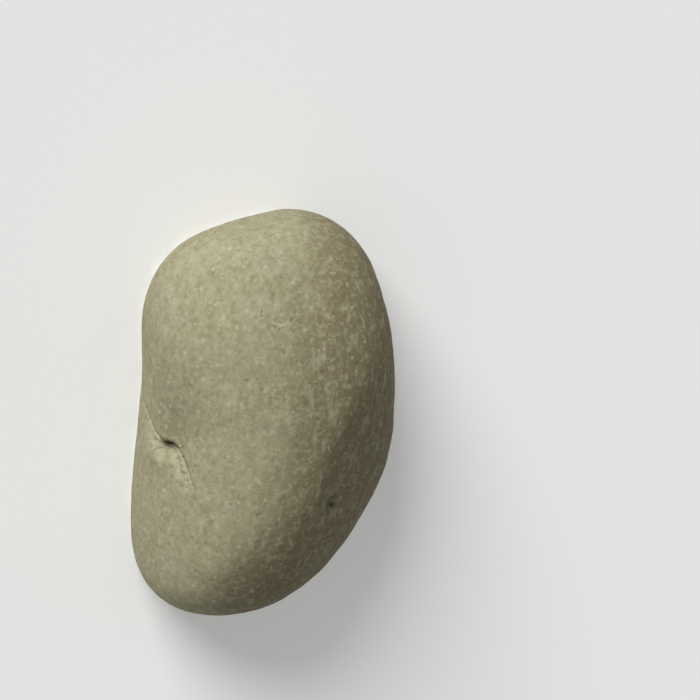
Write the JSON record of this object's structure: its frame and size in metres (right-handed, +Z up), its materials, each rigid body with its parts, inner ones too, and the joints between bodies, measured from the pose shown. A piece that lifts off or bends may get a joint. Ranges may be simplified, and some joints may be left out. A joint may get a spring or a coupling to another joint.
{
  "type": "hide a key rock",
  "caption": "Imitation garden stone with a flat underside, in which a rectangular key recess is closed by a push-fit lid.",
  "frame": {"origin": "on the ground, under the middle of the stone's outline", "axes": "+X along the stone towards its blunt end, +Y across it away from its steep side, +Z up"},
  "size_m": [0.105, 0.0679, 0.045],
  "materials": {
    "cast_stone": "matte olive-grey imitation stone with fine sandy mottling",
    "lid_casting": "matte off-white cast resin"
  },
  "bodies": {
    "rock": {"rock_body": "cast_stone"},
    "lid": {"compartment_lid": "lid_casting"}
  },
  "joints": [
    {"name": "lid_lift_off", "type": "slide", "parent": "rock", "child": "lid", "axis": [0, 0, -1], "range_m": [0, 0.04]}
  ]
}
